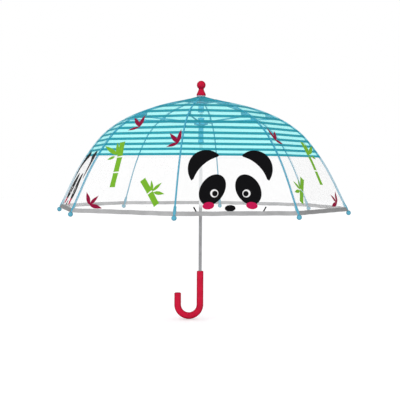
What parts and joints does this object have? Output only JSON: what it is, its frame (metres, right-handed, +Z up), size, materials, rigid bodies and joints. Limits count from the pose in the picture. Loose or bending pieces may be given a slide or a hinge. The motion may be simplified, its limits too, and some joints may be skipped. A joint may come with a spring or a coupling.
{
  "type": "children's umbrella",
  "caption": "Folding dome umbrella with a clear printed canopy, a sliding runner, jointed ribs and stretchers, and a crook handle.",
  "frame": {"origin": "on the shaft's axis, level with the lowest point of the crook", "axes": "+Z up along the shaft towards the finial; the crook bends towards -X; the front panels face -Y"},
  "size_m": [0.7226, 0.7226, 0.5862],
  "materials": {
    "handle_red": "glossy moulded plastic",
    "shaft_steel": "plated tube",
    "wire_steel": "spring wire",
    "washer_clear": "milky clear plastic",
    "blue_plastic": "moulded plastic",
    "rib_blue": "glass-fibre rod in a coloured plastic coat",
    "stretcher_grey": "moulded plastic",
    "film_clear": "printed clear film"
  },
  "bodies": {
    "frame": {"shaft_tube": "shaft_steel", "crook_handle": "handle_red", "finial": "handle_red", "top_washer": "washer_clear", "top_notch": "blue_plastic", "notch_wire": "wire_steel"},
    "runner": {"runner": "blue_plastic"},
    "upper_catch": {"upper_catch": "wire_steel"},
    "lower_catch": {"lower_catch": "wire_steel"},
    "rib_1": {"rib_inner_1": "rib_blue"},
    "rib_end_1": {"rib_outer_1": "rib_blue", "rib_tip_1": "blue_plastic"},
    "stretcher_1": {"stretcher_1": "stretcher_grey"},
    "rib_2": {"rib_inner_2": "rib_blue"},
    "rib_end_2": {"rib_outer_2": "rib_blue", "rib_tip_2": "blue_plastic"},
    "stretcher_2": {"stretcher_2": "stretcher_grey"},
    "rib_3": {"rib_inner_3": "rib_blue"},
    "rib_end_3": {"rib_outer_3": "rib_blue", "rib_tip_3": "blue_plastic"},
    "stretcher_3": {"stretcher_3": "stretcher_grey"},
    "rib_4": {"rib_inner_4": "rib_blue"},
    "rib_end_4": {"rib_outer_4": "rib_blue", "rib_tip_4": "blue_plastic"},
    "stretcher_4": {"stretcher_4": "stretcher_grey"},
    "rib_5": {"rib_inner_5": "rib_blue"},
    "rib_end_5": {"rib_outer_5": "rib_blue", "rib_tip_5": "blue_plastic"},
    "stretcher_5": {"stretcher_5": "stretcher_grey"},
    "rib_6": {"rib_inner_6": "rib_blue"},
    "rib_end_6": {"rib_outer_6": "rib_blue", "rib_tip_6": "blue_plastic"},
    "stretcher_6": {"stretcher_6": "stretcher_grey"},
    "rib_7": {"rib_inner_7": "rib_blue"},
    "rib_end_7": {"rib_outer_7": "rib_blue", "rib_tip_7": "blue_plastic"},
    "stretcher_7": {"stretcher_7": "stretcher_grey"},
    "rib_8": {"rib_inner_8": "rib_blue"},
    "rib_end_8": {"rib_outer_8": "rib_blue", "rib_tip_8": "blue_plastic"},
    "stretcher_8": {"stretcher_8": "stretcher_grey"},
    "crown_1": {"crown_panel_1": "film_clear"},
    "skirt_1": {"skirt_panel_1": "film_clear"},
    "crown_2": {"crown_panel_2": "film_clear"},
    "skirt_2": {"skirt_panel_2": "film_clear"},
    "crown_3": {"crown_panel_3": "film_clear"},
    "skirt_3": {"skirt_panel_3": "film_clear"},
    "crown_4": {"crown_panel_4": "film_clear"},
    "skirt_4": {"skirt_panel_4": "film_clear"},
    "crown_5": {"crown_panel_5": "film_clear"},
    "skirt_5": {"skirt_panel_5": "film_clear"},
    "crown_6": {"crown_panel_6": "film_clear"},
    "skirt_6": {"skirt_panel_6": "film_clear"},
    "crown_7": {"crown_panel_7": "film_clear"},
    "skirt_7": {"skirt_panel_7": "film_clear"},
    "crown_8": {"crown_panel_8": "film_clear"},
    "skirt_8": {"skirt_panel_8": "film_clear"}
  },
  "joints": [
    {"name": "runner_slide", "type": "slide", "parent": "frame", "child": "runner", "axis": [0, 0, -1], "range_m": [0, 0.29646]},
    {"name": "upper_catch_press", "type": "slide", "parent": "frame", "child": "upper_catch", "axis": [0.2362, -0.9717, 0], "range_m": [0, 0.0032]},
    {"name": "lower_catch_press", "type": "slide", "parent": "frame", "child": "lower_catch", "axis": [0.2362, -0.9717, 0], "range_m": [0, 0.0032]},
    {"name": "rib_hinge_1", "type": "hinge", "parent": "frame", "child": "rib_1", "pos_m": [-0.00154, -0.00988, 0.532], "axis": [0.9881, -0.1537, 0], "range_deg": [0, 74.71]},
    {"name": "stretcher_hinge_1", "type": "hinge", "parent": "rib_1", "child": "stretcher_1", "pos_m": [-0.02797, -0.17984, 0.4927], "axis": [0.9881, -0.1537, 0], "range_deg": [-160.56, 0]},
    {"name": "rib_flex_1", "type": "hinge", "parent": "rib_1", "child": "rib_end_1", "pos_m": [-0.02988, -0.19215, 0.48876], "axis": [0.9881, -0.1537, 0], "range_deg": [-41.7, 0]},
    {"name": "rib_hinge_2", "type": "hinge", "parent": "frame", "child": "rib_2", "pos_m": [0.0059, -0.00807, 0.532], "axis": [0.8074, 0.59, 0], "range_deg": [0, 74.71]},
    {"name": "stretcher_hinge_2", "type": "hinge", "parent": "rib_2", "child": "stretcher_2", "pos_m": [0.10739, -0.14694, 0.4927], "axis": [0.8074, 0.59, 0], "range_deg": [-160.56, 0]},
    {"name": "rib_flex_2", "type": "hinge", "parent": "rib_2", "child": "rib_end_2", "pos_m": [0.11474, -0.157, 0.48876], "axis": [0.8074, 0.59, 0], "range_deg": [-41.7, 0]},
    {"name": "rib_hinge_3", "type": "hinge", "parent": "frame", "child": "rib_3", "pos_m": [0.00988, -0.00154, 0.532], "axis": [0.1537, 0.9881, 0], "range_deg": [0, 74.71]},
    {"name": "stretcher_hinge_3", "type": "hinge", "parent": "rib_3", "child": "stretcher_3", "pos_m": [0.17984, -0.02797, 0.4927], "axis": [0.1537, 0.9881, 0], "range_deg": [-160.56, 0]},
    {"name": "rib_flex_3", "type": "hinge", "parent": "rib_3", "child": "rib_end_3", "pos_m": [0.19215, -0.02988, 0.48876], "axis": [0.1537, 0.9881, 0], "range_deg": [-41.7, 0]},
    {"name": "rib_hinge_4", "type": "hinge", "parent": "frame", "child": "rib_4", "pos_m": [0.00807, 0.0059, 0.532], "axis": [-0.59, 0.8074, 0], "range_deg": [0, 74.71]},
    {"name": "stretcher_hinge_4", "type": "hinge", "parent": "rib_4", "child": "stretcher_4", "pos_m": [0.14694, 0.10739, 0.4927], "axis": [-0.59, 0.8074, 0], "range_deg": [-160.56, 0]},
    {"name": "rib_flex_4", "type": "hinge", "parent": "rib_4", "child": "rib_end_4", "pos_m": [0.157, 0.11474, 0.48876], "axis": [-0.59, 0.8074, 0], "range_deg": [-41.7, 0]},
    {"name": "rib_hinge_5", "type": "hinge", "parent": "frame", "child": "rib_5", "pos_m": [0.00154, 0.00988, 0.532], "axis": [-0.9881, 0.1537, 0], "range_deg": [0, 74.71]},
    {"name": "stretcher_hinge_5", "type": "hinge", "parent": "rib_5", "child": "stretcher_5", "pos_m": [0.02797, 0.17984, 0.4927], "axis": [-0.9881, 0.1537, 0], "range_deg": [-160.56, 0]},
    {"name": "rib_flex_5", "type": "hinge", "parent": "rib_5", "child": "rib_end_5", "pos_m": [0.02988, 0.19215, 0.48876], "axis": [-0.9881, 0.1537, 0], "range_deg": [-41.7, 0]},
    {"name": "rib_hinge_6", "type": "hinge", "parent": "frame", "child": "rib_6", "pos_m": [-0.0059, 0.00807, 0.532], "axis": [-0.8074, -0.59, 0], "range_deg": [0, 74.71]},
    {"name": "stretcher_hinge_6", "type": "hinge", "parent": "rib_6", "child": "stretcher_6", "pos_m": [-0.10739, 0.14694, 0.4927], "axis": [-0.8074, -0.59, 0], "range_deg": [-160.56, 0]},
    {"name": "rib_flex_6", "type": "hinge", "parent": "rib_6", "child": "rib_end_6", "pos_m": [-0.11474, 0.157, 0.48876], "axis": [-0.8074, -0.59, 0], "range_deg": [-41.7, 0]},
    {"name": "rib_hinge_7", "type": "hinge", "parent": "frame", "child": "rib_7", "pos_m": [-0.00988, 0.00154, 0.532], "axis": [-0.1537, -0.9881, 0], "range_deg": [0, 74.71]},
    {"name": "stretcher_hinge_7", "type": "hinge", "parent": "rib_7", "child": "stretcher_7", "pos_m": [-0.17984, 0.02797, 0.4927], "axis": [-0.1537, -0.9881, 0], "range_deg": [-160.56, 0]},
    {"name": "rib_flex_7", "type": "hinge", "parent": "rib_7", "child": "rib_end_7", "pos_m": [-0.19215, 0.02988, 0.48876], "axis": [-0.1537, -0.9881, 0], "range_deg": [-41.7, 0]},
    {"name": "rib_hinge_8", "type": "hinge", "parent": "frame", "child": "rib_8", "pos_m": [-0.00807, -0.0059, 0.532], "axis": [0.59, -0.8074, 0], "range_deg": [0, 74.71]},
    {"name": "stretcher_hinge_8", "type": "hinge", "parent": "rib_8", "child": "stretcher_8", "pos_m": [-0.14694, -0.10739, 0.4927], "axis": [0.59, -0.8074, 0], "range_deg": [-160.56, 0]},
    {"name": "rib_flex_8", "type": "hinge", "parent": "rib_8", "child": "rib_end_8", "pos_m": [-0.157, -0.11474, 0.48876], "axis": [0.59, -0.8074, 0], "range_deg": [-41.7, 0]},
    {"name": "crown_fold_1", "type": "hinge", "parent": "frame", "child": "crown_1", "pos_m": [0.00218, -0.00898, 0.532], "axis": [0.9717, 0.2362, 0], "range_deg": [0, 72.83], "deforming": ["crown_panel_1"]},
    {"name": "skirt_fold_1", "type": "hinge", "parent": "crown_1", "child": "skirt_1", "pos_m": [0.04243, -0.17458, 0.49159], "axis": [0.9717, 0.2362, 0], "range_deg": [-41.26, 0], "deforming": ["skirt_panel_1"]},
    {"name": "crown_fold_2", "type": "hinge", "parent": "frame", "child": "crown_2", "pos_m": [0.00789, -0.00481, 0.532], "axis": [0.5201, 0.8541, 0], "range_deg": [0, 72.83], "deforming": ["crown_panel_2"]},
    {"name": "skirt_fold_2", "type": "hinge", "parent": "crown_2", "child": "skirt_2", "pos_m": [0.15345, -0.09344, 0.49159], "axis": [0.5201, 0.8541, 0], "range_deg": [-41.26, 0], "deforming": ["skirt_panel_2"]},
    {"name": "crown_fold_3", "type": "hinge", "parent": "frame", "child": "crown_3", "pos_m": [0.00898, 0.00218, 0.532], "axis": [-0.2362, 0.9717, 0], "range_deg": [0, 72.83], "deforming": ["crown_panel_3"]},
    {"name": "skirt_fold_3", "type": "hinge", "parent": "crown_3", "child": "skirt_3", "pos_m": [0.17458, 0.04243, 0.49159], "axis": [-0.2362, 0.9717, 0], "range_deg": [-41.26, 0], "deforming": ["skirt_panel_3"]},
    {"name": "crown_fold_4", "type": "hinge", "parent": "frame", "child": "crown_4", "pos_m": [0.00481, 0.00789, 0.532], "axis": [-0.8541, 0.5201, 0], "range_deg": [0, 72.83], "deforming": ["crown_panel_4"]},
    {"name": "skirt_fold_4", "type": "hinge", "parent": "crown_4", "child": "skirt_4", "pos_m": [0.09344, 0.15345, 0.49159], "axis": [-0.8541, 0.5201, 0], "range_deg": [-41.26, 0], "deforming": ["skirt_panel_4"]},
    {"name": "crown_fold_5", "type": "hinge", "parent": "frame", "child": "crown_5", "pos_m": [-0.00218, 0.00898, 0.532], "axis": [-0.9717, -0.2362, 0], "range_deg": [0, 72.83], "deforming": ["crown_panel_5"]},
    {"name": "skirt_fold_5", "type": "hinge", "parent": "crown_5", "child": "skirt_5", "pos_m": [-0.04243, 0.17458, 0.49159], "axis": [-0.9717, -0.2362, 0], "range_deg": [-41.26, 0], "deforming": ["skirt_panel_5"]},
    {"name": "crown_fold_6", "type": "hinge", "parent": "frame", "child": "crown_6", "pos_m": [-0.00789, 0.00481, 0.532], "axis": [-0.5201, -0.8541, 0], "range_deg": [0, 72.83], "deforming": ["crown_panel_6"]},
    {"name": "skirt_fold_6", "type": "hinge", "parent": "crown_6", "child": "skirt_6", "pos_m": [-0.15345, 0.09344, 0.49159], "axis": [-0.5201, -0.8541, 0], "range_deg": [-41.26, 0], "deforming": ["skirt_panel_6"]},
    {"name": "crown_fold_7", "type": "hinge", "parent": "frame", "child": "crown_7", "pos_m": [-0.00898, -0.00218, 0.532], "axis": [0.2362, -0.9717, 0], "range_deg": [0, 72.83], "deforming": ["crown_panel_7"]},
    {"name": "skirt_fold_7", "type": "hinge", "parent": "crown_7", "child": "skirt_7", "pos_m": [-0.17458, -0.04243, 0.49159], "axis": [0.2362, -0.9717, 0], "range_deg": [-41.26, 0], "deforming": ["skirt_panel_7"]},
    {"name": "crown_fold_8", "type": "hinge", "parent": "frame", "child": "crown_8", "pos_m": [-0.00481, -0.00789, 0.532], "axis": [0.8541, -0.5201, 0], "range_deg": [0, 72.83], "deforming": ["crown_panel_8"]},
    {"name": "skirt_fold_8", "type": "hinge", "parent": "crown_8", "child": "skirt_8", "pos_m": [-0.09344, -0.15345, 0.49159], "axis": [0.8541, -0.5201, 0], "range_deg": [-41.26, 0], "deforming": ["skirt_panel_8"]}
  ],
  "couplings": [
    {"joint": "rib_hinge_1", "follows": "runner_slide", "rad_per_m": 4.3973},
    {"joint": "stretcher_hinge_1", "follows": "runner_slide", "rad_per_m": -9.4511},
    {"joint": "rib_flex_1", "follows": "runner_slide", "rad_per_m": -2.454},
    {"joint": "rib_hinge_2", "follows": "runner_slide", "rad_per_m": 4.3973},
    {"joint": "stretcher_hinge_2", "follows": "runner_slide", "rad_per_m": -9.4511},
    {"joint": "rib_flex_2", "follows": "runner_slide", "rad_per_m": -2.454},
    {"joint": "rib_hinge_3", "follows": "runner_slide", "rad_per_m": 4.3973},
    {"joint": "stretcher_hinge_3", "follows": "runner_slide", "rad_per_m": -9.4511},
    {"joint": "rib_flex_3", "follows": "runner_slide", "rad_per_m": -2.454},
    {"joint": "rib_hinge_4", "follows": "runner_slide", "rad_per_m": 4.3973},
    {"joint": "stretcher_hinge_4", "follows": "runner_slide", "rad_per_m": -9.4511},
    {"joint": "rib_flex_4", "follows": "runner_slide", "rad_per_m": -2.454},
    {"joint": "rib_hinge_5", "follows": "runner_slide", "rad_per_m": 4.3973},
    {"joint": "stretcher_hinge_5", "follows": "runner_slide", "rad_per_m": -9.4511},
    {"joint": "rib_flex_5", "follows": "runner_slide", "rad_per_m": -2.454},
    {"joint": "rib_hinge_6", "follows": "runner_slide", "rad_per_m": 4.3973},
    {"joint": "stretcher_hinge_6", "follows": "runner_slide", "rad_per_m": -9.4511},
    {"joint": "rib_flex_6", "follows": "runner_slide", "rad_per_m": -2.454},
    {"joint": "rib_hinge_7", "follows": "runner_slide", "rad_per_m": 4.3973},
    {"joint": "stretcher_hinge_7", "follows": "runner_slide", "rad_per_m": -9.4511},
    {"joint": "rib_flex_7", "follows": "runner_slide", "rad_per_m": -2.454},
    {"joint": "rib_hinge_8", "follows": "runner_slide", "rad_per_m": 4.3973},
    {"joint": "stretcher_hinge_8", "follows": "runner_slide", "rad_per_m": -9.4511},
    {"joint": "rib_flex_8", "follows": "runner_slide", "rad_per_m": -2.454},
    {"joint": "crown_fold_1", "follows": "runner_slide", "rad_per_m": 4.2867},
    {"joint": "skirt_fold_1", "follows": "runner_slide", "rad_per_m": -2.4279},
    {"joint": "crown_fold_2", "follows": "runner_slide", "rad_per_m": 4.2867},
    {"joint": "skirt_fold_2", "follows": "runner_slide", "rad_per_m": -2.4279},
    {"joint": "crown_fold_3", "follows": "runner_slide", "rad_per_m": 4.2867},
    {"joint": "skirt_fold_3", "follows": "runner_slide", "rad_per_m": -2.4279},
    {"joint": "crown_fold_4", "follows": "runner_slide", "rad_per_m": 4.2867},
    {"joint": "skirt_fold_4", "follows": "runner_slide", "rad_per_m": -2.4279},
    {"joint": "crown_fold_5", "follows": "runner_slide", "rad_per_m": 4.2867},
    {"joint": "skirt_fold_5", "follows": "runner_slide", "rad_per_m": -2.4279},
    {"joint": "crown_fold_6", "follows": "runner_slide", "rad_per_m": 4.2867},
    {"joint": "skirt_fold_6", "follows": "runner_slide", "rad_per_m": -2.4279},
    {"joint": "crown_fold_7", "follows": "runner_slide", "rad_per_m": 4.2867},
    {"joint": "skirt_fold_7", "follows": "runner_slide", "rad_per_m": -2.4279},
    {"joint": "crown_fold_8", "follows": "runner_slide", "rad_per_m": 4.2867},
    {"joint": "skirt_fold_8", "follows": "runner_slide", "rad_per_m": -2.4279}
  ]
}
